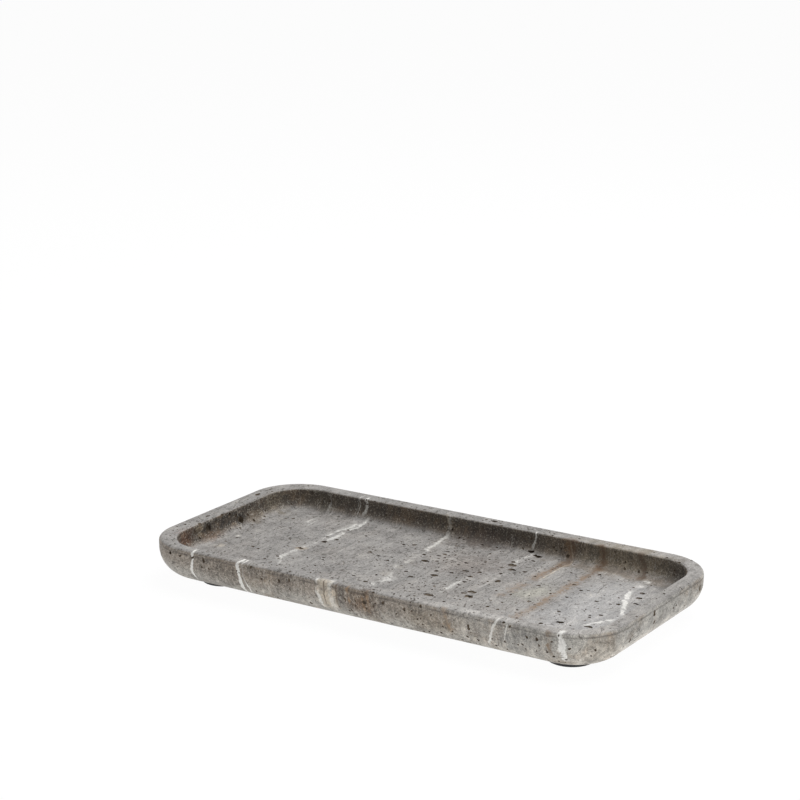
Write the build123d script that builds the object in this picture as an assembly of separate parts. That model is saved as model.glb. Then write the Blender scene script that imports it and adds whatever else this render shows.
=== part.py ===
from build123d import *
import os

# Gongfu tea tray: one block of stone with a shallow well in its top, standing on four rubber pads.
# Millimetres. X runs along the tray, Y across it and Z up.
# The origin is on the table, under the middle of the block.

# Stone block
tray_length = 300.0
tray_width = 147.0
stone_height = 22.0
plan_corner_radius = 31.5
belly_round = 16.7
rim_outer_round = 1.8

# Rim widths: the well was cut a little off the middle, towards the front and the right
rim_front = 8.1
rim_back = 10.9
rim_left = 12.2
rim_right = 8.9

# Well
well_depth = 12.0
well_corner_radius = 22.5
well_floor_round = 7.0
rim_inner_round = 1.2

# Rubber pads, stuck on by hand, so the two ends differ
pad_diameter = 26.0
pad_height = 3.1
pad_edge_round = 0.9
pad_margin_left = 9.8
pad_margin_right = 2.8
pad_margin_side = 1.2

# Adhesive disc between each pad and the stone
adhesive_thickness = 0.4
adhesive_inset = 0.9

# How far the well's cutter runs past the top of the stone
cut_overrun = 5.0

# Sizes worked out from those above
underside_z = pad_height + adhesive_thickness
rim_z = underside_z + stone_height
floor_z = rim_z - well_depth
well_length = tray_length - rim_left - rim_right
well_width = tray_width - rim_front - rim_back
well_centre_x = (rim_left - rim_right) / 2
well_centre_y = (rim_front - rim_back) / 2

# Each pad stands on the flat of the underside, inside the big rounding, by its margin
pad_radius = pad_diameter / 2
flat_half_length = tray_length / 2 - belly_round
flat_half_width = tray_width / 2 - belly_round
pad_x = {
    "left": pad_margin_left + pad_radius - flat_half_length,
    "right": flat_half_length - pad_margin_right - pad_radius,
}
pad_y = {
    "front": pad_margin_side + pad_radius - flat_half_width,
    "rear": flat_half_width - pad_margin_side - pad_radius,
}


def rounded_block(length, width, corner_radius, height):
    """A block with its underside at Z = 0 and upright rounded corners."""
    return extrude(RectangleRounded(length, width, corner_radius), height)


def lowest_edges(solid):
    return solid.edges().group_by(Axis.Z)[0]


def highest_edges(solid):
    return solid.edges().group_by(Axis.Z)[-1]


def stone_blank():
    """The block before it is hollowed: big rounding below, small rounding round the rim."""
    blank = rounded_block(tray_length, tray_width, plan_corner_radius, stone_height)
    blank = fillet(lowest_edges(blank), belly_round)
    blank = fillet(highest_edges(blank), rim_outer_round)
    return Pos(0, 0, underside_z) * blank


def well_cutter():
    """The space inside the well, with a rounded edge all round its floor."""
    cutter = rounded_block(well_length, well_width, well_corner_radius, well_depth + cut_overrun)
    cutter = fillet(lowest_edges(cutter), well_floor_round)
    return Pos(well_centre_x, well_centre_y, floor_z) * cutter


def stone_tray():
    """The stone, hollowed, with the inner edge of its rim eased."""
    tray = stone_blank() - well_cutter()
    rim_face = tray.faces().sort_by(Axis.Z)[-1]
    inner_edge = rim_face.inner_wires()[0].edges()
    return fillet(inner_edge, rim_inner_round)


def disc(radius, thickness, x, y, z):
    """An upright disc with its lower face at Z = z."""
    return Pos(x, y, z) * extrude(Circle(radius), thickness)


def rubber_pad(x, y):
    """A moulded pad with a rounded lower edge."""
    pad = disc(pad_radius, pad_height, x, y, 0)
    return fillet(lowest_edges(pad), pad_edge_round)


def adhesive_disc(x, y):
    """The adhesive layer, a little smaller than the pad that it holds."""
    return disc(pad_radius - adhesive_inset, adhesive_thickness, x, y, pad_height)


os.makedirs("parts", exist_ok=True)
export_step(stone_tray(), "parts/tray_body.step")

for row, y in pad_y.items():
    for side, x in pad_x.items():
        export_step(rubber_pad(x, y), f"parts/foot_{row}_{side}.step")
        export_step(adhesive_disc(x, y), f"parts/foot_adhesive_{row}_{side}.step")
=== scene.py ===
import math

import bpy
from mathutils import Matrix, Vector


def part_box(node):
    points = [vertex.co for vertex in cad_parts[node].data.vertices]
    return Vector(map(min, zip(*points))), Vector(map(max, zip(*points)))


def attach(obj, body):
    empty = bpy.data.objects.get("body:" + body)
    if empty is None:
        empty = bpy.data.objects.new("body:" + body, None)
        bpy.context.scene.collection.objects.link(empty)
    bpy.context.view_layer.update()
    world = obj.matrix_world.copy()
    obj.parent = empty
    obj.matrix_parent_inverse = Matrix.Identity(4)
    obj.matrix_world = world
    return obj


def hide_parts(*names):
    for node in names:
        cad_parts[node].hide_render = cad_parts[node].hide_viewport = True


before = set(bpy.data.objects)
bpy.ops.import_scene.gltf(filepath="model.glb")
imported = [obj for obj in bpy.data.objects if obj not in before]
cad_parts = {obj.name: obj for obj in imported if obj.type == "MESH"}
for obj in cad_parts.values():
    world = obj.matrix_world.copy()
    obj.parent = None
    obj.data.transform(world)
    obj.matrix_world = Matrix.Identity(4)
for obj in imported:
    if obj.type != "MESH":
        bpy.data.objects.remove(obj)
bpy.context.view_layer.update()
mm = 0.001


# Helpers

def adderFor(tree):  # gives the function that adds one node with its settings and links
    def add(kind, inputs=(), **settings):  # inputs go by name or in order; a list is several links to one
        node = tree.nodes.new(kind)
        for name, value in settings.items():
            setattr(node, name, value)
        sockets = [socket for socket in node.inputs if socket.enabled]
        named = {socket.name: socket for socket in reversed(sockets)}
        for key, value in inputs.items() if isinstance(inputs, dict) else enumerate(inputs):
            socket = sockets[key] if isinstance(key, int) else named[key]
            for source in value if isinstance(value, list) else [value]:
                if isinstance(source, bpy.types.NodeSocket):
                    tree.links.new(source, socket)
                else:
                    socket.default_value = source
        results = [socket for socket in node.outputs if socket.enabled]
        return dict(enumerate(results)) | {socket.name: socket for socket in reversed(results)}
    return add


def newGroup(name, kind, inputs, outputs):  # inputs and outputs: name to socket type
    tree = bpy.data.node_groups.new(name, kind)
    for label, socketType in inputs.items():
        tree.interface.new_socket(label, in_out="INPUT", socket_type=socketType)
    for label, socketType in outputs.items():
        tree.interface.new_socket(label, in_out="OUTPUT", socket_type=socketType)
    add = adderFor(tree)
    return tree, add, add("NodeGroupInput")


def newShapeTree(name, sizes):  # a tree that takes a geometry and the named sizes, and gives a geometry
    socketTypes = {float: "NodeSocketFloat", int: "NodeSocketInt", tuple: "NodeSocketVector"}
    geometry = {"Geometry": "NodeSocketGeometry"}
    inputs = geometry | {label: socketTypes[type(value)] for label, value in sizes.items()}
    return newGroup(name, "GeometryNodeTree", inputs, geometry)


def inMetres(lengths):  # named lengths in mm
    return {name: length * mm for name, length in lengths.items()}


def placed(name, data):  # a new object in the scene
    item = bpy.data.objects.new(name, data)
    bpy.context.scene.collection.objects.link(item)
    return item


def shapeWithNodes(name, start, steps):  # runs each tree with its sizes in turn and keeps a plain mesh
    maker = placed(name + "Maker", start)
    for tree, sizes in steps:
        modifier = maker.modifiers.new(tree.name, "NODES")
        modifier.node_group = tree
        for item in tree.interface.items_tree:
            if item.in_out == "INPUT" and item.name in sizes:
                modifier[item.identifier] = sizes[item.name]
    graph = bpy.context.evaluated_depsgraph_get()
    mesh = bpy.data.meshes.new_from_object(maker.evaluated_get(graph), depsgraph=graph)
    maker.modifiers.clear()
    bpy.data.objects.remove(maker)
    keepUsedMaterials(mesh)
    return placed(name, mesh)


def keepUsedMaterials(mesh):  # the tree leaves an empty first slot
    places = [face.material_index for face in mesh.polygons]
    used = sorted(set(places))
    kept = [mesh.materials[i] for i in used]
    mesh.materials.clear()
    for material in kept:
        mesh.materials.append(material)
    mesh.polygons.foreach_set("material_index", [used.index(i) for i in places])


def linear(hexColour):  # sRGB hex to the linear colour that the shaders use
    parts = [int(hexColour[i:i + 2], 16) / 255 for i in (1, 3, 5)]
    return tuple(c / 12.92 if c <= 0.04045 else ((c + 0.055) / 1.055) ** 2.4 for c in parts) + (1.0,)


def newMaterial(name):
    material = bpy.data.materials.new(name)
    material.use_nodes = True
    material.node_tree.nodes.clear()
    return material, adderFor(material.node_tree)


def finished(material, add, colour, roughness, ior, height, strength, depth):  # the bump's depth is in mm
    bump = add("ShaderNodeBump", {"Height": height, "Strength": strength, "Distance": depth * mm})[0]
    looks = {"Base Color": colour, "Roughness": roughness, "IOR": ior, "Normal": bump}
    add("ShaderNodeOutputMaterial", {"Surface": add("ShaderNodeBsdfPrincipled", looks)[0]})
    return material


# Stone: grey-brown marble with open pits, sawn across its bedding, honed but not polished or filled.
# Flats look pale, cool and even; sides are browner and mealy; the well's sides are darker, partly as rougher
# stone and partly as painted shade.
stone = {
    "flat": "#918E8B",
    "side": "#968C81",
    "sideRight": "#A3A09A",
    # darker well sides: partly the rougher stone's own tone, partly painted shade
    "wellSide": "#514940",
    # lighter faces turned under: painted light, as from the white table below
    "paintedUnderLight": "#AFABA4",
    "brown": "#76644F",
    "pale": "#BDB8AE",
    "dark": "#3E3832",
    "hairline": "#CFCAC1",
    "crack": "#45403A",
    "hairlineStrength": 0.4,
    "crackStrength": 0.7,
    "threadWidth": 0.007,  # of hairlines and cracks, as a share of their noise
    "crackShift": (50, 20, 90),  # mm, so that cracks don't follow the hairlines
    "edgeHeight": 23.3,  # mm, just below the rim's outer edge, where the dark band lies
    "wellSideCalm": -0.4,  # how much calmer each noise is on the well's sides; below 0 it is stronger
    "ior": 1.5,
    "grainBump": (0.5, 0.12),  # strength, and depth in mm
    "fleckClouding": 0.3,  # how far the dark flecks gather in clouds
    "mottleInStains": 0.6,  # share of their outline that follows the mottle, not the patches
    "noiseSpan": (0.25, 0.75),  # what nearly all of a noise lies between
}

# Noise at the sizes that the stone shows: spans along X, Y and Z in mm, detail, roughness and distortion
stoneNoise = {
    "cloud": ((16, 16, 16), 4.0, 0.6, 0.0),
    "patch": ((24, 24, 24), 5.0, 0.7, 0.5),
    "bedding": ((3, 40, 28), 6.0, 0.74, 0.3),
    "streak": ((6, 14, 2.4), 5.0, 0.75, 0.4),
    "mottle": ((6, 6, 6), 5.0, 0.78, 0.0),
    "grain": ((1.1, 1.1, 1.1), 2.0, 0.6, 0.0),
    "fleck": ((1.7, 2.6, 1.9), 3.0, 0.7, 0.4),
    "speck": ((0.55, 0.55, 0.55), 1.0, 0.5, 0.0),  # real grains are finer, but would not show
    "hairline": ((9, 45, 30), 3.0, 0.5, 0.35),
    "crack": ((12, 34, 26), 3.0, 0.5, 0.35),
    "sway": ((13, 13, 13), 2.0, 0.5, 0.0),
    "fray": ((3, 3, 3), 5.0, 0.8, 0.0),
    "breaks": ((14, 9, 9), 3.0, 0.6, 0.0),
}

# What is read off each point: from which place or noise, over what range, and what it gives at both ends
stoneShares = {
    "flat": ("upness", 0.45, 0.97, 0.0, 1.0, "SMOOTHSTEP"),
    "under": ("upness", 0.0, -0.6, 0.0, 1.0, "SMOOTHSTEP"),
    "steep": ("flat", 0.0, 1.0, 1.0, 0.0),
    "outside": ("inWell", 0.0, 1.0, 1.0, 0.0),
    "leftWall": ("X", -129.0, -135.0, 0.0, 1.0),
    "toRight": ("X", 20.0, 120.0, 0.0, 1.0),
    # painted light and shade by place: lighter to the right, lighter towards the front and darker towards the
    # back, darker at the right end
    "litRight": ("toRight", 0.0, 1.0, 0.96, 1.19),
    "litBack": ("Y", -60.0, 60.0, 1.05, 0.95),
    "litEnd": ("X", 146.0, 149.0, 1.0, 0.84),
    "onSides": ("flat", 0.0, 1.0, 1.0, 0.2),
    "brownness": ("patch", 0.50, 0.66, 0.0, 0.6),
    "paleGrain": ("grain", 0.55, 0.70, 0.0, 0.6),
    "darkGrain": ("cloudedFleck", 0.57, 0.525, 0.0, 1.0),
    "darkOnFlats": ("flat", 0.0, 1.0, 0.55, 0.9),
    "fewerRight": ("toRight", 0.0, 1.0, 1.0, 0.5),
    "levelStreak": ("streak", 0.3, 0.7, 0.3, 1.7),
    "threadsShow": ("cloud", 0.46, 0.56, 0.0, 1.0),
    "dirt": ("offEdge", 0.8, 0.15, 0.0, 0.55, "SMOOTHSTEP"),
    "dirtStays": ("mottle", 0.35, 0.55, 0.0, 1.0),
    "wander": ("sway", 0.0, 1.0, -3.0, 3.0),
    "ragged": ("fray", 0.0, 1.0, -0.5, 0.5),
    "crumbs": ("grain", 0.36, 0.58, 0.2, 1.0),
    "rough": ("mottle", 0.3, 0.7, 0.52, 0.72),
}

# How far each noise lightens and darkens the stone, and how much calmer it is on the flats
stoneSpreads = {
    "cloud": (0.20, 0.0),
    "bedding": (0.36, 0.1),
    "mottle": (0.58, 0.4),
    "grain": (0.30, 0.4),
    "speck": (0.28, 0.2),
}

white, cream, ochre = "#EFEDE8", "#CFC4B2", "#A5825A"
rust, umber, black = "#7E6345", "#5A4634", "#332E28"

# Sheets of other mineral, nearly square to X. Each is: X where it crosses the tray's middle at floor
# height, its change along Y, its change up Z, its width, the Y where it starts and stops, the share
# of it that is missing, how soft its edges are, its strength and its tint.
sheets = [
    (-110.0, 0.00, 0.00, 1.7, -90, -67, 0.26, 0.2, 1.0, white),
    (-108.0, 0.00, 0.00, 2.6, 34, 80, 0.50, 0.9, 0.55, white),
    (-104.5, 0.00, 0.00, 1.4, 30, 60, 0.48, 0.9, 0.5, white),
    (-76.3, 0.00, -0.06, 2.4, -90, -63, 0.22, 0.2, 1.0, white),
    (-72.4, 0.00, -0.15, 1.3, -74, -60, 0.20, 0.3, 1.0, white),
    (-93.0, -0.45, 0.00, 2.0, -38, -22, 0.46, 0.9, 0.7, white),
    (-82.0, 0.00, 0.00, 10.0, -36, 62, 0.47, 1.0, 0.22, white),
    (-83.3, 0.00, 0.00, 4.0, -26, -6, 0.49, 0.5, 0.75, white),
    (-82.6, 0.00, 0.00, 2.2, -6, 25, 0.52, 0.6, 0.4, white),
    (-84.2, 0.08, 0.00, 2.6, 22, 56, 0.50, 0.5, 0.65, white),
    (-77.2, 0.00, 0.00, 3.6, 9, 34, 0.46, 0.5, 0.75, white),
    (-77.5, 0.00, -0.10, 3.0, 35, 62, 0.46, 0.7, 0.8, white),
    (-81.5, 0.00, -0.10, 2.4, 60, 68, 0.22, 0.4, 1.0, white),
    (-86.0, 0.00, -0.10, 1.2, 58, 72, 0.42, 0.8, 0.8, white),
    (-89.0, 0.00, 0.10, 0.8, 58, 72, 0.42, 0.8, 0.5, white),
    (-7.0, 0.16, 0.00, 8.0, -37, -16, 0.45, 1.0, 0.8, white),
    (-19.5, -0.40, 0.00, 3.0, -24, 3, 0.46, 0.9, 0.65, white),
    (-17.3, -0.03, 0.00, 4.0, 2, 34, 0.49, 0.9, 0.65, white),
    (-17.0, -0.06, 0.00, 12.0, -20, 66, 0.48, 1.0, 0.2, cream),
    (-16.0, -0.10, 0.00, 3.4, 28, 64.5, 0.44, 0.6, 0.6, white),
    (-20.0, 0.00, -0.40, 2.0, 60, 66, 0.42, 0.7, 0.5, cream),
    (-16.4, 0.00, -0.36, 14.0, -90, -68, 0.47, 0.6, 0.95, cream),
    (-13.6, 0.00, -0.20, 4.2, -90, -66, 0.46, 0.6, 0.55, white),
    (-22.0, 0.00, -0.30, 2.4, -90, -68, 0.44, 0.5, 0.8, white),
    (-18.4, 0.00, -0.20, 1.4, -90, -69, 0.42, 0.6, 0.8, umber),
    (-10.4, 0.00, -0.10, 1.2, -90, -69, 0.40, 0.6, 0.8, umber),
    (-3.0, 0.00, -0.10, 2.2, -90, -70, 0.45, 0.8, 0.75, ochre),
    (8.0, 0.00, -0.20, 3.0, -90, -70, 0.46, 0.8, 0.75, ochre),
    (25.4, 0.00, 0.00, 3.4, -27, -1, 0.47, 0.8, 0.65, white),
    (39.5, 0.03, 0.00, 2.8, -8, 28, 0.50, 0.7, 0.9, white),
    (35.0, 0.02, 0.05, 3.4, 36, 60, 0.47, 0.9, 0.75, white),
    (35.5, 0.00, 0.05, 1.7, 60, 66, 0.34, 0.5, 0.9, white),
    (46.2, -0.12, 0.00, 1.0, 28, 62, 0.42, 0.8, 0.7, black),
    (-68.0, 0.40, 0.00, 1.0, -8, 27, 0.43, 0.9, 0.5, black),
    (0.2, 0.13, 0.00, 1.2, -37, -15, 0.42, 0.9, 0.6, black),
    (57.0, 0.05, -0.10, 12.0, -14, 66, 0.45, 1.0, 0.6, rust),
    (57.0, 0.05, -0.10, 6.0, 22, 66, 0.36, 1.0, 0.8, rust),
    (60.5, 0.04, -0.30, 1.3, 22, 66, 0.40, 0.6, 0.85, cream),
    (80.8, 0.01, -0.15, 11.0, -40, 66, 0.40, 1.0, 0.6, rust),
    (80.8, 0.01, -0.15, 6.0, -22, 66, 0.36, 1.0, 0.8, rust),
    (80.0, 0.03, -0.20, 3.8, 55, 66, 0.30, 0.8, 0.9, umber),
    (108.0, 0.01, -0.40, 4.4, 50, 66, 0.26, 0.8, 0.85, umber),
    # these two: umber over the rust bands near the back wall, partly stain and partly painted shadow of the
    # wall
    (57.4, 0.06, 0.00, 7.5, 40, 66, 0.25, 0.8, 0.75, umber),
    (80.8, 0.01, 0.00, 6.0, 40, 66, 0.30, 0.8, 0.5, umber),
    (124.6, -0.36, 0.00, 3.8, -4, 35, 0.44, 0.5, 1.0, white),
    (132.3, 0.53, 0.00, 4.6, -28, -10, 0.43, 0.5, 1.0, white),
    (114.2, 0.00, 0.00, 6.0, 40, 46, 0.42, 0.7, 0.9, white),
    (114.2, 0.00, 0.00, 6.0, 48, 55, 0.46, 0.7, 0.8, white),
    (85.9, 0.00, 0.36, 1.7, -90, -68, 0.28, 0.3, 0.85, white),
    (95.2, 0.00, 0.10, 1.0, -90, -70.5, 0.47, 0.5, 0.8, white),
    (128.0, 0.00, -0.14, 4.4, -90, -66, 0.16, 0.4, 1.0, white),
    (121.3, 0.00, -0.10, 3.6, -90, -70, 0.40, 0.9, 0.8, rust),
    (60.0, 0.00, -0.20, 5.0, -90, -70, 0.46, 1.0, 0.65, ochre),
    (11.0, 0.00, -0.10, 3.0, -90, -70, 0.42, 1.0, 0.6, ochre),
]

# Stained patches, and patches of painted light and shade as marked: middle, reach (both mm), strength and
# tint
stainsAndPaintedLight = [
    ((5, -74, 17), (13, 9, 13), 0.9, "#68533F"),
    ((-7.4, -74, 18), (2.4, 9, 13), 0.6, "#665E56"),
    ((-80, -74, 14), (36, 9, 14), 0.5, "#786C5E"),
    ((48, -74, 15), (24, 9, 12), 0.55, "#8A7C68"),
    ((100, -74, 14), (12, 9, 14), 0.7, "#92908C"),
    ((-138, -45, 19), (6, 10, 8), 0.9, "#6D4C36"),
    ((-137.5, -29, 21), (5, 7, 5), 0.8, "#7C6E5A"),
    ((-137, -20, 15), (6, 14, 5), 0.85, "#6B533D"),
    ((-137, -9, 21), (5, 8, 6), 0.85, "#2F2822"),
    ((-137, 10, 18), (5, 8, 7), 0.85, "#38302A"),
    ((-136, 22, 17), (6, 10, 6), 0.8, "#7D705F"),
    ((-133, 42, 21), (10, 12, 9), 0.75, "#7F7462"),
    ((-112, 60, 19), (14, 8, 8), 0.7, "#5F574B"),
    ((46, 62, 19), (9, 12, 9), 0.7, "#6E6355"),
    ((60, 62, 20), (8, 7, 8), 0.9, "#5A4430"),
    # dark patch in the well's back-right corner: dark pitted stone, with painted shade in the corner
    ((130, 54, 18), (18, 16, 12), 0.9, "#2B2723"),
    ((0, 60, 16), (28, 14, 9), 0.85, "#4C4036"),
    ((92, 62, 19), (44, 16, 16), 0.9, "#877D6D"),
    # lighter band on the front rim: painted light
    ((70, -69, 25.5), (44, 8, 5), 0.7, "#A9A6A2"),
    ((-138, -23, 21), (5, 6, 7), 0.75, "#2C2620"),
    ((-138, 9, 17), (5, 6, 6), 0.75, "#2C2620"),
    ((-138, 30, 16), (3, 3, 2.5), 0.8, "#A79A88"),
    ((-125, -27, 13.5), (4, 4, 3), 0.8, "#BFB6A8"),
    ((-127, -7, 13.5), (2, 2.4, 2), 0.85, "#DAD6CE"),
    ((-97, -73.5, 19), (1.5, 2, 2), 0.8, "#A79C8E"),
    ((-86, -73.5, 19.5), (1.5, 2, 2.2), 0.8, "#A79C8E"),
    ((-13, -73.5, 20), (2.6, 4, 3.5), 0.85, "#DCCDB8"),
    ((-23, -73.5, 20), (2, 4, 3), 0.8, "#D2C3AE"),
    ((10, -72, 13), (5, 5, 3.5), 0.7, "#4A3A2C"),
    ((14, 24, 13.5), (30, 26, 3), 0.5, "#7C7068"),
    ((106, -8, 13.5), (38, 60, 4), 0.65, "#A5A4A4"),
    ((70, 2, 13.5), (14, 22, 3), 0.55, "#A9A698"),
    # darker floor strip along the back wall: painted shadow of the wall
    ((96, 57, 13.5), (46, 9, 3), 0.7, "#6A6056"),
    ((143, -58, 15), (12, 22, 14), 0.55, "#8E867A"),
    ((-83, -5, 13.5), (4, 3.5, 2), 0.9, "#8F7347"),
    ((146, 4, 25.5), (8, 60, 3), 0.55, "#7F7C78"),
]

# How every sheet frays and ends, and how its breaks fade
sheetWear = {
    "fray": (1.5, 0.8),  # share of the width, and mm more
    "endFade": 3.0,  # mm
    "breakFade": (0.07, 0.02),  # share of the softness, and more
}

# How far a patch's outline follows the noise, and where it is gone and where full
stainAndPaintedLightOutline = {"cloud": 4.0, "gone": 3.1, "full": 2.1}


def sheetGroup():  # how strongly a point lies on one wavering, broken sheet
    number = "NodeSocketFloat"
    labels = ["Along X", "Along Y", "Above Floor", "Wander", "Ragged", "Breaks", "Crumbs",
              "Place", "Slant", "Lean", "Width", "From", "To", "Missing", "Soft", "Strength"]
    inputs = {label: number for label in labels}
    tree, add, given = newGroup("mineralSheet", "ShaderNodeTree", inputs, {"Mask": number})
    (x, y, above, wander, ragged, breaks, crumbs, place, slant, lean, width, start, stop, missing, soft,
     strength) = [given[label] for label in labels]
    middle = add("ShaderNodeMath", [y, slant, place], operation="MULTIPLY_ADD")[0]
    middle = add("ShaderNodeMath", [above, lean, middle], operation="MULTIPLY_ADD")[0]
    away = add("ShaderNodeMath", [x, middle], operation="SUBTRACT")[0]
    away = add("ShaderNodeMath", [away, wander], operation="ADD")[0]
    fray = add("ShaderNodeMath", [width, *sheetWear["fray"]], operation="MULTIPLY_ADD")[0]
    away = add("ShaderNodeMath", [ragged, fray, away], operation="MULTIPLY_ADD")[0]
    away = add("ShaderNodeMath", [away], operation="ABSOLUTE")[0]
    half = add("ShaderNodeMath", [width, 0.5], operation="MULTIPLY")[0]
    firm = add("ShaderNodeMath", [1.0, soft], operation="SUBTRACT")[0]
    inner = add("ShaderNodeMath", [half, firm], operation="MULTIPLY")[0]
    core = add("ShaderNodeMapRange", {"Value": away, "From Min": half, "From Max": inner},
               interpolation_type="SMOOTHSTEP")[0]
    fade = add("ShaderNodeMath", [soft, *sheetWear["breakFade"]], operation="MULTIPLY_ADD")[0]
    low = add("ShaderNodeMath", [missing, fade], operation="SUBTRACT")[0]
    high = add("ShaderNodeMath", [missing, fade], operation="ADD")[0]
    begun = add("ShaderNodeMath", [start, sheetWear["endFade"]], operation="ADD")[0]
    ending = add("ShaderNodeMath", [stop, sheetWear["endFade"]], operation="SUBTRACT")[0]
    shares = [core]
    for value, none, full in ((breaks, low, high), (y, start, begun), (y, stop, ending)):
        shares.append(add("ShaderNodeMapRange", {"Value": value, "From Min": none, "From Max": full})[0])
    shares.append(add("ShaderNodeMix", {"Factor": soft, "A": 1.0, "B": crumbs}, data_type="FLOAT")[0])
    mask = strength
    for share in shares:
        mask = add("ShaderNodeMath", [mask, share], operation="MULTIPLY")[0]
    add("NodeGroupOutput", {"Mask": mask})
    return tree


def stainAndPaintedLightGroup():  # a cloudy ellipsoid of stain, also used for patches of painted light and shade
    number, vector = "NodeSocketFloat", "NodeSocketVector"
    inputs = {"Point": vector, "Middle": vector, "Reach": vector, "Cloud": number, "Strength": number}
    tree, add, given = newGroup("stain", "ShaderNodeTree", inputs, {"Mask": number})
    away = add("ShaderNodeVectorMath", [given["Point"], given["Middle"]], operation="SUBTRACT")[0]
    shares = add("ShaderNodeVectorMath", [away, given["Reach"]], operation="DIVIDE")[0]
    length = add("ShaderNodeVectorMath", [shares], operation="LENGTH")[0]
    clouded = add("ShaderNodeMath", [given["Cloud"], stainAndPaintedLightOutline["cloud"], length], operation="MULTIPLY_ADD")[0]
    limits = {"From Min": stainAndPaintedLightOutline["gone"], "From Max": stainAndPaintedLightOutline["full"], "To Max": given["Strength"]}
    mask = add("ShaderNodeMapRange", {"Value": clouded} | limits, interpolation_type="SMOOTHSTEP")[0]
    add("NodeGroupOutput", {"Mask": mask})
    return tree


def honedMarble():
    material, add = newMaterial("honedPittedMarble")
    coordinates = add("ShaderNodeTexCoord")["Object"]
    point = add("ShaderNodeVectorMath", {0: coordinates, "Scale": 1 / mm}, operation="SCALE")[0]
    shifted = add("ShaderNodeVectorMath", [point, stone["crackShift"]], operation="ADD")[0]

    # what the stone is like at the point: its place, its noises and the shares read off them
    at = add("ShaderNodeSeparateXYZ", [point])
    for name in ("upness", "inWell"):
        at[name] = add("ShaderNodeAttribute", attribute_name=name)["Fac"]
    for name, (span, detail, roughness, distortion) in stoneNoise.items():
        place = shifted if name == "crack" else point
        shrunk = add("ShaderNodeVectorMath", [place, span], operation="DIVIDE")[0]
        settings = {"Scale": 1.0, "Detail": detail, "Roughness": roughness, "Distortion": distortion}
        at[name] = add("ShaderNodeTexNoise", {"Vector": shrunk} | settings)[0]
    at["cloudedFleck"] = add("ShaderNodeMath", [at["cloud"], stone["fleckClouding"], at["fleck"]],
                             operation="MULTIPLY_ADD")[0]
    offEdge = add("ShaderNodeMath", [at["Z"], stone["edgeHeight"]], operation="SUBTRACT")[0]
    at["offEdge"] = add("ShaderNodeMath", [offEdge], operation="ABSOLUTE")[0]
    for name, (source, low, high, atLow, atHigh, *blend) in stoneShares.items():
        limits = {"From Min": low, "From Max": high, "To Min": atLow, "To Max": atHigh}
        at[name] = add("ShaderNodeMapRange", {"Value": at[source]} | limits,
                       interpolation_type=blend[0] if blend else "LINEAR")[0]
    at["wellSide"] = add("ShaderNodeMath", [at["inWell"], at["steep"]], operation="MULTIPLY")[0]

    def tinted(colour, masks, tint):  # lays a tint over the colour where all its masks are
        share = masks[0]
        for mask in masks[1:]:
            share = add("ShaderNodeMath", [share, mask], operation="MULTIPLY")[0]
        return add("ShaderNodeMix", {"Factor": share, "A": colour, "B": linear(tint)}, data_type="RGBA")[0]

    # ground colour by the way that the surface was cut, with the well's sides darkened partly as painted
    # shade, browner patches on the sides, then the stains and the patches of painted light and shade
    colour = linear(stone["side"])
    grounds = [("toRight", "sideRight"), ("flat", "flat"), ("wellSide", "wellSide"), ("under", "paintedUnderLight")]
    # faces turned under take painted light, as from the white table below
    for mask, tint in grounds:
        colour = tinted(colour, [at[mask]], stone[tint])
    colour = tinted(colour, [at["brownness"], at["onSides"]], stone["brown"])
    uneven = add("ShaderNodeMix", {"Factor": stone["mottleInStains"], "A": at["patch"], "B": at["mottle"]},
                 data_type="FLOAT")[0]
    stainAndPaintedLightTree = stainAndPaintedLightGroup()
    for middle, reach, strength, tint in stainsAndPaintedLight:
        mask = add("ShaderNodeGroup", [point, middle, reach, uneven, strength], node_tree=stainAndPaintedLightTree)[0]
        colour = tinted(colour, [mask], tint)

    # painted light and shade by place, lighter to the right and towards the front and darker towards the back
    # and at the right end, then light and dark by noise, all stronger on the well's sides
    level = at["litRight"]
    factors = [at["litBack"], at["litEnd"]]
    noiseLow, noiseHigh = stone["noiseSpan"]
    for name, (spread, calm) in stoneSpreads.items():
        limits = {"From Min": noiseLow, "From Max": noiseHigh, "To Min": 1 - spread, "To Max": 1 + spread}
        share = add("ShaderNodeMapRange", {"Value": at[name]} | limits)[0]
        calmer = add("ShaderNodeMath", [at["flat"], calm], operation="MULTIPLY")[0]
        calmer = add("ShaderNodeMath", [at["wellSide"], stone["wellSideCalm"], calmer],
                     operation="MULTIPLY_ADD")[0]
        factors.append(add("ShaderNodeMix", {"Factor": calmer, "A": share, "B": 1.0},
                           data_type="FLOAT", clamp_factor=False)[0])

    # the well's left wall lies along the bedding, so it shows level streaks
    leftWall = add("ShaderNodeMath", [at["leftWall"], at["wellSide"]], operation="MULTIPLY")[0]
    factors.append(add("ShaderNodeMix", {"Factor": leftWall, "A": 1.0, "B": at["levelStreak"]},
                       data_type="FLOAT")[0])
    for factor in factors:
        level = add("ShaderNodeMath", [level, factor], operation="MULTIPLY")[0]
    colour = add("ShaderNodeVectorMath", {0: colour, "Scale": level}, operation="SCALE")[0]

    # pale grains and dark grains
    colour = tinted(colour, [at["paleGrain"], at["onSides"]], stone["pale"])
    colour = tinted(colour, [at["darkGrain"], at["darkOnFlats"], at["fewerRight"]], stone["dark"])

    # pale hairlines and dark cracks that run along the bedding and show only here and there
    wide = stone["threadWidth"]
    for name in ("hairline", "crack"):
        off = add("ShaderNodeMath", [at[name], 0.5], operation="SUBTRACT")[0]
        off = add("ShaderNodeMath", [off], operation="ABSOLUTE")[0]
        limits = {"From Min": wide, "From Max": wide / 4, "To Max": stone[name + "Strength"]}
        thread = add("ShaderNodeMapRange", {"Value": off} | limits)[0]
        colour = tinted(colour, [thread, at["threadsShow"]], stone[name])

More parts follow.
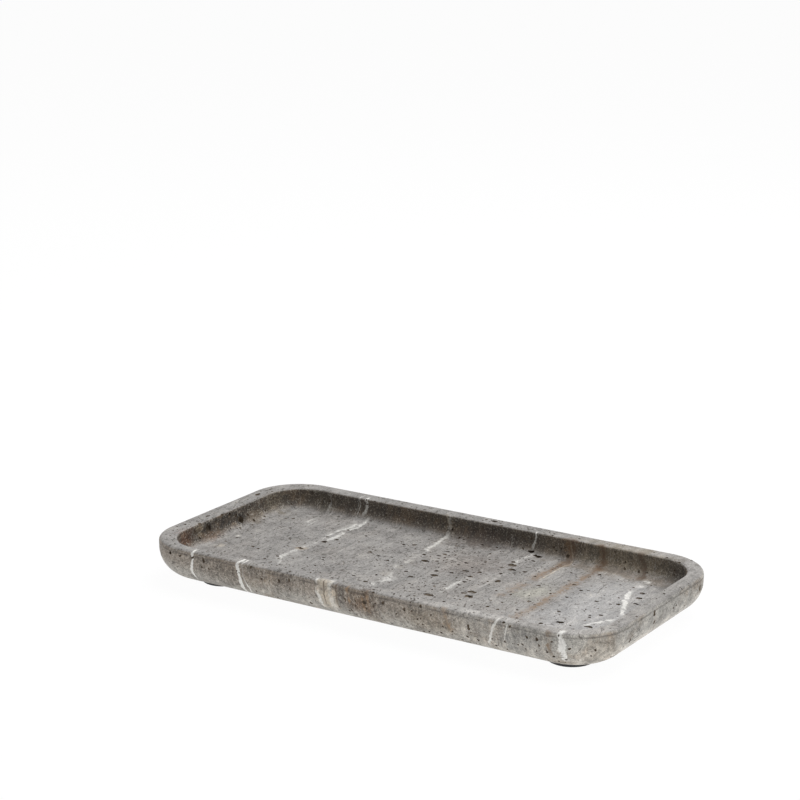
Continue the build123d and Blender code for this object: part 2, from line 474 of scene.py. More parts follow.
    # a dark band just below the rim's outer edge, broken up by the mottle
    colour = tinted(colour, [at["dirt"], at["outside"], at["steep"], at["dirtStays"]], stone["dark"])

    # the mineral sheets
    aboveFloor = add("ShaderNodeMath", [at["Z"], tray["floorHeight"]], operation="SUBTRACT")[0]
    shared = [at["X"], at["Y"], aboveFloor, at["wander"], at["ragged"], at["breaks"], at["crumbs"]]
    sheetTree = sheetGroup()
    for *own, tint in sheets:
        mask = add("ShaderNodeGroup", shared + own, node_tree=sheetTree)[0]
        colour = tinted(colour, [mask], tint)

    return finished(material, add, colour, at["rough"], stone["ior"], at["grain"], *stone["grainBump"])


# Raw stone inside a pore: broken crystal, never honed and full of dust, and darkened further as painted shade
# of the hollow, so it looks dark and dull
poreStone = {
    # the dark colour is dust and also painted shade of the pore's hollow
    "dust": "#302922",
    "crystal": "#7C6E5D",
    "crystalSpan": 1.1,  # mm
    "crystalBump": (0.5, 0.1),  # strength, and depth in mm
    "roughness": 0.9,
}


def rawAndShadedPoreStone():
    material, add = newMaterial("rawAndShadedPoreStone")
    coordinates = add("ShaderNodeTexCoord")["Object"]
    perMetre = 1 / (poreStone["crystalSpan"] * mm)
    noise = add("ShaderNodeTexNoise", {"Vector": coordinates, "Scale": perMetre, "Detail": 3.0})[0]
    tints = {"A": linear(poreStone["dust"]), "B": linear(poreStone["crystal"])}
    colour = add("ShaderNodeMix", {"Factor": noise} | tints, data_type="RGBA")[0]
    return finished(material, add, colour, poreStone["roughness"], stone["ior"], noise,
                    *poreStone["crystalBump"])


# Tray body: two profiles swept round two outlines, closed with three flats.
tray = {
    "floorHeight": 13.5,  # mm, as are the lengths below
    "wellDepth": 12.0,
    "rims": {"left": 12.2, "right": 8.9, "front": 8.1, "back": 10.9},
    "lengths": {  # by the names of the tree's inputs
        "Plan Corner": 31.5,
        "Belly Round": 16.7,
        "Outer Round": 1.8,
        "Well Corner": 22.5,
        "Floor Round": 7.0,
        "Inner Round": 1.2,
        "Flat Lip": 1.2,  # flat strip beside each rounding, so that the flats stay flat when shaded smooth
        "Worn Depth": 0.3,
        "Worn Span": 18.0,
    },
    "outlinePoints": 300,
    "flatRings": 14,
    "shellSteps": (4, 12),  # steps round the rim's rounding and the belly
    "wellSteps": (9, 4),  # and round the floor's and the rim's
    "unwornLevels": (0.985, 0.85),  # how upright the normal is where wear starts and where it is full
}


def trayTree(material, sizes):
    tree, add, given = newShapeTree("hollowedTray", sizes)
    normal = add("GeometryNodeInputNormal")[0]
    lip, rim, under, floor = given["Flat Lip"], given["Rim"], given["Underside"], given["Well Floor"]
    belly, outer = given["Belly Round"], given["Outer Round"]
    inner, cove = given["Inner Round"], given["Floor Round"]

    def roundedOutline(length, width, corner, middle):
        box = add("GeometryNodeCurvePrimitiveQuadrilateral", {"Width": length, "Height": width})[0]
        rounded = add("GeometryNodeFilletCurve", {"Curve": box, "Radius": corner, "Count": 64},
                      mode="POLY")[0]
        even = add("GeometryNodeResampleCurve", {"Curve": rounded, "Count": given["Outline Points"]},
                   mode="COUNT")[0]
        upright = add("GeometryNodeSetCurveNormal", {"Curve": even}, mode="Z_UP")[0]
        return add("GeometryNodeTransform", {"Geometry": upright, "Translation": middle})[0]

    def sweptSide(path, corners, rounds, steps):  # corners go out and up; the middle two are rounded
        places = {}
        for i, (out, up) in enumerate(corners):
            places[f"Point {i + 1}"] = add("ShaderNodeCombineXYZ", {"X": out, "Y": up})[0]
        channel = add("GeometryNodeCurvePrimitiveQuadrilateral", places, mode="POINTS")[0]
        channel = add("GeometryNodeSetSplineCyclic", {"Geometry": channel, "Cyclic": False})[0]
        index = add("GeometryNodeInputIndex")[0]
        later = add("FunctionNodeCompare", {"A": index, "B": 1}, data_type="INT", operation="GREATER_THAN")[0]
        radius = add("GeometryNodeSwitch", {"Switch": later, "False": rounds[0], "True": rounds[1]},
                     input_type="FLOAT")[0]
        count = add("GeometryNodeSwitch", {"Switch": later, "False": steps[0], "True": steps[1]},
                    input_type="INT")[0]
        profile = add("GeometryNodeFilletCurve", {"Curve": channel, "Radius": radius, "Count": count},
                      mode="POLY")[0]
        # the sweep takes the profile's Y downwards, so the profile is turned over first
        profile = add("GeometryNodeTransform", {"Geometry": profile, "Scale": (1, -1, 1)})[0]
        return add("GeometryNodeCurveToMesh", {"Curve": path, "Profile Curve": profile})[0]

    def movedOut(path, out):
        shift = add("ShaderNodeVectorMath", {0: normal, "Scale": out}, operation="SCALE")[0]
        return add("GeometryNodeSetPosition", {"Geometry": path, "Offset": shift})[0]

    def filled(curves, height):
        joined = add("GeometryNodeJoinGeometry", [curves])[0]
        face = add("GeometryNodeFillCurve", {"Curve": joined}, mode="TRIANGLES")[0]
        lift = add("ShaderNodeCombineXYZ", {"Z": height})[0]
        return add("GeometryNodeTransform", {"Geometry": face, "Translation": lift})[0]

    def wideFlat(outline, middle, height):  # nested rings, since one wide face with many holes shades wrongly
        faces = []
        larger = outline
        for i in range(1, tray["flatRings"]):
            share = 1 - i / tray["flatRings"]
            count = add("ShaderNodeMath", [given["Outline Points"], share], operation="MULTIPLY")[0]
            fewer = add("GeometryNodeResampleCurve", {"Curve": outline, "Count": count}, mode="COUNT")[0]
            rest = add("ShaderNodeVectorMath", {0: middle, "Scale": 1 - share}, operation="SCALE")[0]
            moves = {"Translation": rest, "Scale": (share, share, 1)}
            smaller = add("GeometryNodeTransform", {"Geometry": fewer} | moves)[0]
            faces.append(filled([larger, smaller], height))
            larger = smaller
        faces.append(filled([larger], height))
        return add("GeometryNodeJoinGeometry", [faces])[0]

    flatEdges = []
    for radius in (outer, belly, cove):  # where each flat begins, in from its outline
        inwards = add("ShaderNodeMath", [radius, -1.0], operation="MULTIPLY")[0]
        flatEdges.append(add("ShaderNodeMath", [inwards, lip], operation="SUBTRACT")[0])
    outFlat, bellyFlat, coveFlat = flatEdges
    inFlat = add("ShaderNodeMath", [inner, lip], operation="ADD")[0]

    outside = roundedOutline(given["Length"], given["Width"], given["Plan Corner"], (0, 0, 0))
    wellSize = [given["Well " + label] for label in ("Length", "Width", "Corner", "Middle")]
    inside = roundedOutline(*wellSize)
    shellCorners = [(outFlat, rim), (0.0, rim), (0.0, under), (bellyFlat, under)]
    wellCorners = [(coveFlat, floor), (0.0, floor), (0.0, rim), (inFlat, rim)]
    shell = sweptSide(outside, shellCorners, [outer, belly], tray["shellSteps"])
    well = sweptSide(inside, wellCorners, [cove, inner], tray["wellSteps"])
    well = add("GeometryNodeStoreNamedAttribute", {"Geometry": well, "Name": "inWell", "Value": 1.0},
               data_type="FLOAT", domain="CORNER")[0]
    underside = wideFlat(movedOut(outside, bellyFlat), (0, 0, 0), under)
    underside = add("GeometryNodeFlipFaces", {"Mesh": underside})[0]
    rimTop = filled([movedOut(outside, outFlat), movedOut(inside, inFlat)], rim)
    wellFloor = wideFlat(movedOut(inside, coveFlat), given["Well Middle"], floor)
    body = add("GeometryNodeJoinGeometry", [[shell, well, rimTop, wellFloor, underside]])[0]
    body = add("GeometryNodeMergeByDistance", {"Geometry": body, "Distance": 0.01 * mm})[0]

    # worn unevenly by hand finishing, inwards only, and not on the flats
    position = add("GeometryNodeInputPosition")[0]
    upness = add("ShaderNodeSeparateXYZ", [normal])["Z"]
    level = add("ShaderNodeMath", [upness], operation="ABSOLUTE")[0]
    none, full = tray["unwornLevels"]
    limits = {"From Min": none, "From Max": full, "To Max": given["Worn Depth"]}
    depth = add("ShaderNodeMapRange", {"Value": level} | limits)[0]
    perSpan = add("ShaderNodeMath", [1.0, given["Worn Span"]], operation="DIVIDE")[0]
    worn = add("ShaderNodeTexNoise", {"Vector": position, "Scale": perSpan, "Detail": 3.0})[0]
    for factor in (depth, -1.0):
        worn = add("ShaderNodeMath", [worn, factor], operation="MULTIPLY")[0]
    shift = add("ShaderNodeVectorMath", {0: normal, "Scale": worn}, operation="SCALE")[0]
    body = add("GeometryNodeStoreNamedAttribute", {"Geometry": body, "Name": "upness", "Value": upness},
               data_type="FLOAT", domain="CORNER")[0]
    body = add("GeometryNodeSetPosition", {"Geometry": body, "Offset": shift})[0]
    body = add("GeometryNodeRealizeInstances", {"Geometry": body})[0]
    body = add("GeometryNodeSetMaterial", {"Geometry": body, "Material": material})[0]
    body = add("GeometryNodeJoinGeometry", [[body, given["Geometry"]]])[0]
    add("NodeGroupOutput", {"Geometry": body})
    return tree


# Open pores: ragged hollows, thick in one belt of the stone and in clusters along its bedding
pores = {
    "numbers": {  # by the names of the tree's inputs
        "Small Per Square Metre": 105000.0,
        "Large Per Square Metre": 9000.0,
        "Skew": 2.0,
        "Longest": 1.5,
        "Clearance": 1.8,
        "Deep": 0.8,
        "Ragged": 2.1,
        "Elsewhere": 0.36,  # how thickly they stand outside the belt
        "Between Clusters": 0.12,
        "Near Table": 0.3,
        "Cluster From": 0.42,
        "Cluster To": 0.66,
        "Seed": 11,
    },
    "lengths": {  # mm
        "Small From": 0.32,
        "Small To": 0.9,
        "Small Apart": 1.3,
        "Large From": 0.75,
        "Large To": 1.3,
        "Large Apart": 4.4,
        "Belt Start": -14.0,
        "Belt Full From": 0.0,
        "Belt Full To": 50.0,
        "Belt End": 62.0,
        "Few Below": 3.6,  # fewer near the table
        "All Above": 8.0,
        "Plainer Below": 0.62,  # smaller pores have fewer faces
    },
    "raggedSpan": 1.4,
    "clusterSpan": (9.0, 20.0, 20.0),
}

# The largest pores, put where the stone shows them: X, Y and Z of the middle and half widths along them, mm
outerPores = [
    (-126, -72, 22, 1.3, 1.2, 1.5), (-118, -73.5, 22, 0.9, 0.8, 1.1), (-103, -73.5, 18, 0.8, 0.7, 0.9),
    (-92, -73.5, 16, 0.9, 0.8, 1.2), (-118, -73, 12.5, 0.8, 0.7, 0.9), (-61, -73.5, 19, 0.8, 0.8, 0.9),
    (-49, -73.5, 20, 0.9, 0.8, 1.4), (-42, -73.5, 22, 0.8, 0.7, 1.0), (-42, -73.3, 16, 0.9, 0.8, 1.2),
    (-42, -72.6, 11.5, 1.2, 0.9, 1.1), (-5, -73.5, 17.5, 0.9, 0.8, 1.6), (12, -72.9, 13, 1.9, 0.9, 1.3),
    (33, -73.5, 20, 0.9, 0.8, 1.2), (33, -73.3, 15, 1.2, 1.0, 1.1), (33, -72.7, 11.8, 1.0, 0.9, 1.2),
    (73, -73.5, 18, 0.9, 0.8, 1.8), (87, -73, 14, 1.1, 0.9, 1.5), (108, -73.5, 20, 0.8, 0.7, 0.9),
    (114, -73.5, 20, 1.0, 0.8, 1.0), (115, -73.2, 16.5, 0.7, 0.7, 1.2), (-143.5, 35, 25.6, 1.6, 2.8, 1.4),
    (-143, -16, 25.5, 1.0, 1.9, 0.7), (-137.8, -8, 25.2, 1.2, 1.8, 1.0), (-140, 45, 25.5, 0.8, 1.1, 0.7),
    (5, 68, 25.5, 2.4, 1.6, 0.9), (134, -55, 25.4, 1.5, 1.1, 0.9), (129, -63, 25.3, 1.1, 0.9, 0.8),
    (120, 64, 25.5, 0.9, 0.9, 0.7), (145, 10, 25.5, 1.0, 1.0, 0.8), (-137.8, -22, 20.5, 1.9, 2.2, 3.0),
    (-137.6, 9, 17, 1.8, 2.2, 3.0), (-137.8, -1, 23, 1.2, 1.6, 1.3), (-137.6, 39, 15, 1.0, 2.4, 0.8),
    (-137.8, 5, 21, 0.9, 1.3, 1.1), (-137.8, -35, 22, 0.9, 1.0, 1.2), (-109, 62.6, 20, 1.0, 0.9, 1.2),
    (-87, 62.6, 16, 1.1, 1.0, 1.3), (-20, 62.6, 17, 1.0, 0.9, 1.1), (35, 60, 14.4, 2.4, 1.7, 1.1),
    (41, 57, 13.6, 3.0, 1.6, 1.0), (150, -11, 22, 0.8, 1.0, 1.5), (149.9, -10, 16.5, 1.0, 1.2, 1.8),
    (149.5, -37, 14.5, 0.9, 1.4, 1.6), (149.9, 45, 19, 0.9, 1.3, 2.2), (-137.8, -14.5, 22.5, 0.9, 1.1, 0.9),
    (-137.6, 16.5, 18.5, 0.9, 1.3, 1.0), (-137.5, 39, 21.5, 0.9, 1.0, 1.0),
]

# The same in the floor of the well, whose height is left out
floorPores = [
    (59, -73, 0.8, 0.7, 0.9), (22, -32, 3.4, 1.9, 1.2), (42, -22, 2.9, 2.2, 1.0), (40, -15, 3.0, 1.9, 0.9),
    (37, -19, 1.6, 1.4, 0.9), (43, 8, 1.6, 2.2, 1.2), (36, 36, 3.0, 2.2, 1.0), (40, 29, 2.6, 1.9, 0.9),
    (34, 41, 1.6, 1.2, 0.8), (8, -3, 2.7, 1.6, 1.2), (5, 4, 1.7, 1.3, 1.1), (-10, 15, 2.9, 1.7, 1.2),
    (-2, -12, 1.7, 1.4, 1.1), (-9, -6, 1.4, 1.2, 1.2), (-8, 27, 1.7, 1.1, 1.0), (-6, 31, 2.0, 1.1, 0.9),
    (19, 13, 2.0, 1.3, 1.0), (26, 6, 2.0, 1.0, 0.9), (28, -3, 1.6, 1.1, 1.0), (28, -9, 1.5, 1.0, 1.0),
    (27, 15, 1.5, 1.2, 1.0), (14, 6, 1.4, 1.1, 1.0), (12, 25, 1.6, 1.2, 1.0), (104, -30, 3.2, 1.3, 1.0),
    (120, -28, 2.6, 1.4, 1.0), (88, 6, 1.2, 1.1, 0.9), (66, 14, 1.5, 1.0, 0.9), (117, -9, 1.5, 1.1, 1.0),
    (122, 26, 1.9, 1.3, 1.0), (120, 34, 1.8, 1.2, 1.0), (125, 17, 1.7, 1.2, 1.0), (117, 11, 1.7, 1.1, 0.9),
    (-73.8, 19, 1.6, 1.4, 1.1), (-77.6, 12, 2.0, 1.5, 1.2), (-83, -5, 2.1, 1.3, 1.1),
    (-45, 11, 1.4, 1.1, 1.0), (-37, 8, 1.3, 1.0, 0.9), (-60, -15, 1.3, 0.9, 1.0), (-62, -12, 1.1, 0.8, 0.9),
    (-19, -33, 1.6, 1.3, 1.0), (-20, -20, 1.2, 1.0, 1.0), (-36, 33, 1.4, 1.0, 0.9), (-119, 38, 1.1, 1.0, 0.9),
    (-8, 48, 1.6, 1.1, 0.9), (-28, 4, 1.3, 0.9, 0.9), (-30, -28, 1.3, 1.0, 0.9), (74, -11, 1.4, 1.0, 0.8),
    (95, -16, 1.5, 1.1, 0.8), (96, -37, 1.3, 1.0, 0.8), (105, 9, 1.2, 1.0, 0.8), (10, 20, 1.2, 1.0, 0.8),
    (48, 30, 1.5, 1.1, 0.8), (-16, 24, 1.4, 1.0, 0.8), (-7, 36, 1.4, 1.0, 0.8),
]


def poreTree(material, poreMaterial, sizes):
    tree, add, given = newShapeTree("openPores", sizes)
    kinds = {"reach": "FLOAT_VECTOR", "poreSize": "FLOAT", "turn": "QUATERNION", "insidePore": "FLOAT"}
    reach, poreSize, turn, inPore = [add("GeometryNodeInputNamedAttribute", {"Name": name}, data_type=kind)[0]
                                     for name, kind in kinds.items()]
    isPore = add("ShaderNodeVectorMath", [reach], operation="LENGTH")["Value"]
    parts = add("GeometryNodeSeparateGeometry", {"Geometry": given["Geometry"], "Selection": isPore},
                domain="POINT")
    chosen, body = parts["Selection"], parts["Inverted"]
    position = add("GeometryNodeInputPosition")[0]

    # how thickly the pores stand
    clustered = add("ShaderNodeVectorMath", [position, given["Cluster Span"]], operation="DIVIDE")[0]
    thick = add("ShaderNodeTexNoise", {"Vector": clustered, "Scale": 1.0, "Detail": 2.0})[0]
    limits = {"From Min": given["Cluster From"], "From Max": given["Cluster To"]}
    thick = add("ShaderNodeMapRange", {"Value": thick, "To Min": given["Between Clusters"]} | limits)[0]
    place = add("ShaderNodeSeparateXYZ", [position])
    thinnings = [("X", "Belt Start", "Belt Full From", "Elsewhere"),
                 ("X", "Belt End", "Belt Full To", "Elsewhere"),
                 ("Z", "Few Below", "All Above", "Near Table")]
    for axis, few, full, left in thinnings:
        limits = {"From Min": given[few], "From Max": given[full], "To Min": given[left]}
        share = add("ShaderNodeMapRange", {"Value": place[axis]} | limits)[0]
        thick = add("ShaderNodeMath", [thick, share], operation="MULTIPLY")[0]

    def strew(kind):  # points on the body, each with the turn and size of its pore
        spread = {"Distance Min": given[kind + " Apart"], "Density Max": given[kind + " Per Square Metre"],
                  "Density Factor": thick, "Seed": given["Seed"]}
        scattered = add("GeometryNodeDistributePointsOnFaces", {"Mesh": body} | spread,
                        distribute_method="POISSON")
        facing = {"Name": "turn", "Value": scattered["Rotation"]}
        points = add("GeometryNodeStoreNamedAttribute", {"Geometry": scattered["Points"]} | facing,
                     data_type="QUATERNION", domain="POINT")[0]
        chance = add("FunctionNodeRandomValue", {"Seed": 3}, data_type="FLOAT")[0]
        chance = add("ShaderNodeMath", [chance, given["Skew"]], operation="POWER")[0]
        limits = {"To Min": given[kind + " From"], "To Max": given[kind + " To"]}
        size = add("ShaderNodeMapRange", {"Value": chance} | limits)[0]
        neighbour = add("GeometryNodeIndexOfNearest")["Index"]
        there = add("GeometryNodeFieldAtIndex", {"Value": position, "Index": neighbour},
                    data_type="FLOAT_VECTOR", domain="POINT")[0]
        gap = add("ShaderNodeVectorMath", [position, there], operation="DISTANCE")["Value"]
        room = add("ShaderNodeMath", [gap, given["Clearance"]], operation="DIVIDE")[0]
        room = add("ShaderNodeMath", [room, 0.5], operation="MULTIPLY")[0]
        size = add("ShaderNodeMath", [size, room], operation="MINIMUM")[0]
        return add("GeometryNodeStoreNamedAttribute", {"Geometry": points, "Name": "poreSize", "Value": size},
                   data_type="FLOAT", domain="POINT")[0]

    def keepClear(points, others):  # takes away the points whose pores would run into the others'
        nearest = add("GeometryNodeSampleNearest", {"Geometry": others}, domain="POINT")[0]
        there, size = [add("GeometryNodeSampleIndex", {"Geometry": others, "Value": value, "Index": nearest},
                           data_type=kind, domain="POINT")[0]
                       for value, kind in ((position, "FLOAT_VECTOR"), (poreSize, "FLOAT"))]
        gap = add("ShaderNodeVectorMath", [position, there], operation="DISTANCE")["Value"]
        need = add("ShaderNodeMath", [size, poreSize], operation="ADD")[0]
        need = add("ShaderNodeMath", [need, given["Clearance"]], operation="MULTIPLY")[0]
        clash = add("FunctionNodeCompare", {"A": gap, "B": need}, data_type="FLOAT", operation="LESS_THAN")[0]
        return add("GeometryNodeDeleteGeometry", {"Geometry": points, "Selection": clash}, domain="POINT")[0]

    large = keepClear(strew("Large"), chosen)
    small = keepClear(keepClear(strew("Small"), chosen), large)
    points = add("GeometryNodeJoinGeometry", [[large, small]])[0]

    # each one's turn and outline
    spin = add("FunctionNodeRandomValue", {"Max": 2 * math.pi, "Seed": 5}, data_type="FLOAT")[0]
    spin = add("ShaderNodeCombineXYZ", {"Z": spin})[0]
    spin = add("FunctionNodeEulerToRotation", [spin])[0]
    turn = add("FunctionNodeRotateRotation", [turn, spin], rotation_space="LOCAL")[0]
    longer = add("FunctionNodeRandomValue", {"Min": 1.0, "Max": given["Longest"], "Seed": 9},
                 data_type="FLOAT")[0]
    shape = add("ShaderNodeCombineXYZ", {"X": longer, "Y": 1.0, "Z": given["Deep"]})[0]
    shape = add("ShaderNodeVectorMath", {0: shape, "Scale": poreSize}, operation="SCALE")[0]
    coarse = add("GeometryNodeMeshIcoSphere", {"Radius": 1.0, "Subdivisions": 1})[0]
    fine = add("GeometryNodeMeshIcoSphere", {"Radius": 1.0, "Subdivisions": 2})[0]
    balls = [add("GeometryNodeGeometryToInstance", [ball])[0] for ball in (fine, coarse)]
    balls = add("GeometryNodeJoinGeometry", [balls])[0]
    tiny = add("FunctionNodeCompare", {"A": poreSize, "B": given["Plainer Below"]}, data_type="FLOAT",
               operation="LESS_THAN")[0]
    pick = {"Instance": balls, "Pick Instance": True, "Instance Index": tiny}
    moves = {"Rotation": turn, "Scale": shape}
    strewn = add("GeometryNodeInstanceOnPoints", {"Points": points} | pick | moves)[0]
    byHand = add("GeometryNodeInstanceOnPoints", {"Points": chosen, "Instance": fine, "Scale": reach})[0]
    cutters = add("GeometryNodeJoinGeometry", [[strewn, byHand]])[0]
    cutters = add("GeometryNodeRealizeInstances", {"Geometry": cutters})[0]
    perMetre = 1 / (pores["raggedSpan"] * mm)
    rough = add("ShaderNodeTexNoise", {"Vector": position, "Scale": perMetre, "Detail": 1.0})["Color"]
    rough = add("ShaderNodeVectorMath", [rough, (0.5, 0.5, 0.5)], operation="SUBTRACT")[0]
    amount = add("ShaderNodeMath", [poreSize, given["Ragged"]], operation="MULTIPLY")[0]
    rough = add("ShaderNodeVectorMath", {0: rough, "Scale": amount}, operation="SCALE")[0]
    cutters = add("GeometryNodeSetPosition", {"Geometry": cutters, "Offset": rough})[0]
    mark = {"Name": "insidePore", "Value": 1.0}
    cutters = add("GeometryNodeStoreNamedAttribute", {"Geometry": cutters} | mark, data_type="FLOAT",
                  domain="FACE")[0]
    pitted = add("GeometryNodeMeshBoolean", {"Mesh 1": body, "Mesh 2": cutters}, operation="DIFFERENCE",
                 solver="MANIFOLD")[0]

    # smooth shading, with a hard edge round each pore
    smooth = add("GeometryNodeSetShadeSmooth", {"Geometry": pitted, "Shade Smooth": True}, domain="FACE")[0]
    onEdge = add("GeometryNodeFieldOnDomain", [inPore], data_type="FLOAT", domain="EDGE")[0]
    lipEdge = add("ShaderNodeMath", [onEdge, 0.5, 0.4], operation="COMPARE")[0]  # half in, half out
    sharp = {"Selection": lipEdge, "Shade Smooth": False}
    smooth = add("GeometryNodeSetShadeSmooth", {"Geometry": smooth} | sharp, domain="EDGE")[0]
    whole = add("GeometryNodeRealizeInstances", {"Geometry": smooth})[0]
    for where, finish in ((True, material), (inPore, poreMaterial)):
        whole = add("GeometryNodeSetMaterial", [whole, where, finish])[0]
    add("NodeGroupOutput", {"Geometry": whole})
    return tree


def largePorePoints():  # the chosen pores as bare points, which the pore tree takes out again
    chosen = outerPores + [(x, y, tray["floorHeight"], *reach) for x, y, *reach in floorPores]
    mesh = bpy.data.meshes.new("largePores")
    mesh.from_pydata([Vector(pore[:3]) * mm for pore in chosen], [], [])
    sizes = mesh.attributes.new("poreSize", "FLOAT", "POINT")
    sizes.data.foreach_set("value", [sum(pore[3:]) / 3 * mm for pore in chosen])
    reaches = mesh.attributes.new("reach", "FLOAT_VECTOR", "POINT")
    reaches.data.foreach_set("vector", [half * mm for pore in chosen for half in pore[3:]])
    return mesh


def pittedTray():
    low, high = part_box("tray_body")
    size = high - low
    rims = tray["rims"]
    middle = ((rims["left"] - rims["right"]) / 2 * mm, (rims["front"] - rims["back"]) / 2 * mm, 0.0)
    traySizes = inMetres(tray["lengths"]) | {
        "Length": size.x, "Width": size.y, "Underside": low.z, "Rim": high.z,
        "Well Length": size.x - (rims["left"] + rims["right"]) * mm,
        "Well Width": size.y - (rims["front"] + rims["back"]) * mm,
        "Well Middle": middle,
        "Well Floor": high.z - tray["wellDepth"] * mm,
        "Outline Points": tray["outlinePoints"],
    }
    poreSizes = pores["numbers"] | inMetres(pores["lengths"])
    poreSizes["Cluster Span"] = tuple(span * mm for span in pores["clusterSpan"])
    marble, rawAndShadedStone = honedMarble(), rawAndShadedPoreStone()
    steps = [(trayTree(marble, traySizes), traySizes), (poreTree(marble, rawAndShadedStone, poreSizes), poreSizes)]
    piece = shapeWithNodes("tray_stone", largePorePoints(), steps)
    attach(piece, "root")
    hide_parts("tray_body")
    print("tray shaped:", len(piece.data.polygons), "faces,", [m.name for m in piece.data.materials])


# Pads: moulded rubber, satin black, which the eye sees as a dark line with a soft glint,
# on acrylic foam tape, which is matt dark grey with a fine open texture
pads = {
    "rubber": "#070707",
    "dust": "#161514",
    "dustPatches": (9.0, 4.0),  # mm, and detail of the noise
    "rubberGrain": (0.5, 3.0),
    "rubberBump": (0.2, 0.05),  # strength, and depth in mm
    "rubberRoughness": (0.45, 0.65),
    "rubberIor": 1.52,
    "foam": "#171716",
    "foamSkin": "#2B2A28",
    "foamCell": 0.4,
    "foamBump": (0.3, 0.05),
    "foamRoughness": 0.85,
    "foamIor": 1.5,
}


def mouldedRubber():
    material, add = newMaterial("mouldedRubber")
    coordinates = add("ShaderNodeTexCoord")["Object"]
    noises = []
    for span, detail in (pads["rubberGrain"], pads["dustPatches"]):
        settings = {"Scale": 1 / (span * mm), "Detail": detail}
        noises.append(add("ShaderNodeTexNoise", {"Vector": coordinates} | settings)[0])
    grain, dust = noises
    dust = add("ShaderNodeMapRange", {"Value": dust, "From Min": 0.5, "From Max": 0.8, "To Max": 0.4})[0]
    colour = add("ShaderNodeMix", {"Factor": dust, "A": linear(pads["rubber"]), "B": linear(pads["dust"])},
                 data_type="RGBA")[0]
    smoothest, roughest = pads["rubberRoughness"]
    rough = add("ShaderNodeMapRange", {"Value": grain, "To Min": smoothest, "To Max": roughest})[0]
    return finished(material, add, colour, rough, pads["rubberIor"], grain, *pads["rubberBump"])


def adhesiveFoam():
    material, add = newMaterial("adhesiveFoam")
    coordinates = add("ShaderNodeTexCoord")["Object"]
    cell = add("ShaderNodeTexVoronoi", {"Vector": coordinates, "Scale": 1 / (pads["foamCell"] * mm)})[0]
    colour = add("ShaderNodeMix", {"Factor": cell, "A": linear(pads["foam"]), "B": linear(pads["foamSkin"])},
                 data_type="RGBA")[0]
    return finished(material, add, colour, pads["foamRoughness"], pads["foamIor"], cell, *pads["foamBump"])


def finishPads():
    rubber, foam = mouldedRubber(), adhesiveFoam()
    for name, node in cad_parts.items():
        if name.startswith("foot_"):
            node.data.materials.clear()
            node.data.materials.append(foam if "adhesive" in name else rubber)
    print("pads finished")


# Table, light and camera
studio = {
    "tableHalf": 9.0,  # metres
    "tableTone": 0.88,
    "tableGlow": 0.39,  # the table is a lit white panel, which brightens the tray's underside
    "tableShadow": 0.06,  # share of its shading that the camera sees
    "skyLight": 0.16,
    "lamps": {  # place in mm, width in mm, watts
        "overhead": ((150, 500, 1500), 1300, 25.0),
        "right": ((1500, 200, 700), 900, 3.0),
    },
}

view = {  # mm and degrees, worked out from the tray's outline in the photograph
    "azimuth": 32.9,
    "elevation": 14.95,
    "target": (-236.1, 338.6, 3.9),
    "distance": 1659.6,
    "lens": 99.82,
    "sensor": 36.0,
    "nearest": 50.0,
    "farthest": 60000.0,
}


def seenDirectly(add):  # 1 for what the camera, a reflection or a look through glass shows
    path = add("ShaderNodeLightPath")
    seen = add("ShaderNodeMath", [path["Is Camera Ray"], path["Is Glossy Ray"]], operation="MAXIMUM")[0]
    return add("ShaderNodeMath", [seen, path["Is Transmission Ray"]], operation="MAXIMUM")[0]


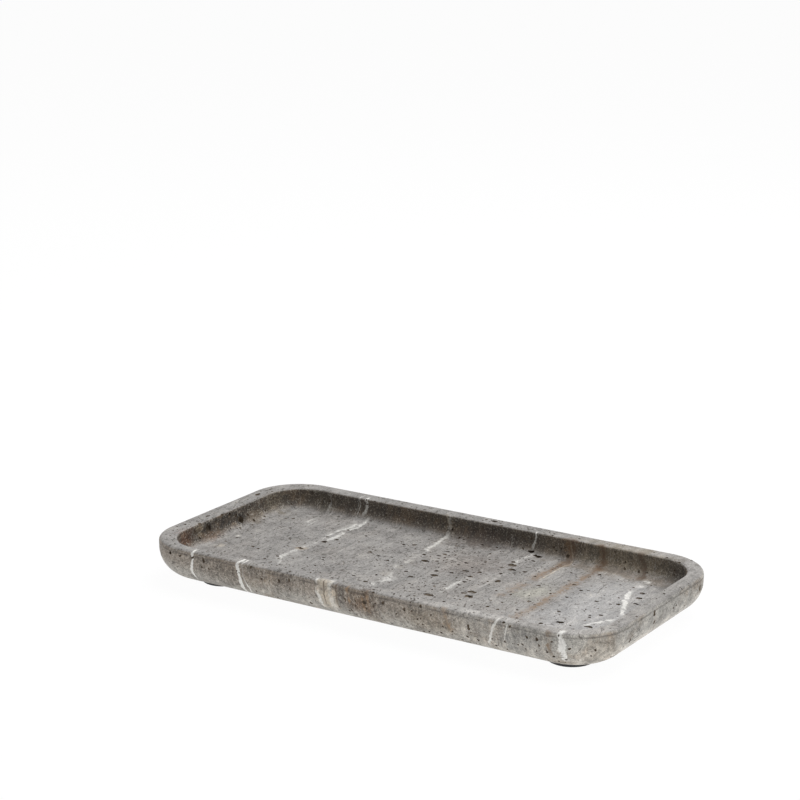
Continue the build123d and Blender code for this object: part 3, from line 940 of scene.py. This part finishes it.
def makeTable():
    half = studio["tableHalf"]
    mesh = bpy.data.meshes.new("table")
    corners = [(-half, -half, 0), (half, -half, 0), (half, half, 0), (-half, half, 0)]
    mesh.from_pydata(corners, [], [(0, 1, 2, 3)])
    material, add = newMaterial("whiteTable")
    tone = studio["tableTone"]
    pale = add("ShaderNodeBsdfDiffuse", {"Color": (tone, tone, tone, 1)})[0]
    glow = add("ShaderNodeEmission", {"Strength": studio["tableGlow"]})[0]
    lit = add("ShaderNodeAddShader", [pale, glow])[0]
    plain = add("ShaderNodeEmission", {"Strength": 1.0})[0]
    share = add("ShaderNodeMath", [seenDirectly(add), 1 - studio["tableShadow"]], operation="MULTIPLY")[0]
    surface = add("ShaderNodeMixShader", [share, lit, plain])[0]
    fromBelow = add("ShaderNodeNewGeometry")["Backfacing"]  # clear from below, so that the underside shows
    clear = add("ShaderNodeBsdfTransparent")[0]
    surface = add("ShaderNodeMixShader", [fromBelow, surface, clear])[0]
    add("ShaderNodeOutputMaterial", {"Surface": surface})
    mesh.materials.append(material)
    table = placed("table", mesh)


def makeLight():
    world = bpy.data.worlds.new("studio")
    bpy.context.scene.world = world
    world.use_nodes = True
    world.node_tree.nodes.clear()
    add = adderFor(world.node_tree)
    strength = add("ShaderNodeMapRange", {"Value": seenDirectly(add), "To Min": studio["skyLight"]})[0]
    glow = add("ShaderNodeBackground", {"Color": (1, 1, 1, 1), "Strength": strength})[0]
    add("ShaderNodeOutputWorld", {"Surface": glow})
    for name, (place, width, watts) in studio["lamps"].items():
        lamp = bpy.data.lights.new(name, "AREA")
        lamp.size = width * mm
        lamp.energy = watts
        holder = placed(name, lamp)
        holder.location = Vector(place) * mm
        holder.rotation_euler = (-holder.location).to_track_quat("-Z", "Y").to_euler()


def makeCamera():
    azimuth, elevation = math.radians(view["azimuth"]), math.radians(view["elevation"])
    back = Vector((math.sin(azimuth) * math.cos(elevation), -math.cos(azimuth) * math.cos(elevation),
                   math.sin(elevation)))
    lens = bpy.data.cameras.new("camera")
    lens.lens = view["lens"]
    lens.sensor_width = view["sensor"]
    lens.clip_start, lens.clip_end = view["nearest"] * mm, view["farthest"] * mm
    camera = placed("camera", lens)
    camera.location = (Vector(view["target"]) + back * view["distance"]) * mm
    camera.rotation_euler = (-back).to_track_quat("-Z", "Y").to_euler()
    bpy.context.scene.camera = camera


pittedTray()
finishPads()
makeTable()
makeLight()
makeCamera()
print("table, light and camera set")
bpy.context.scene.view_settings.view_transform = "Standard"
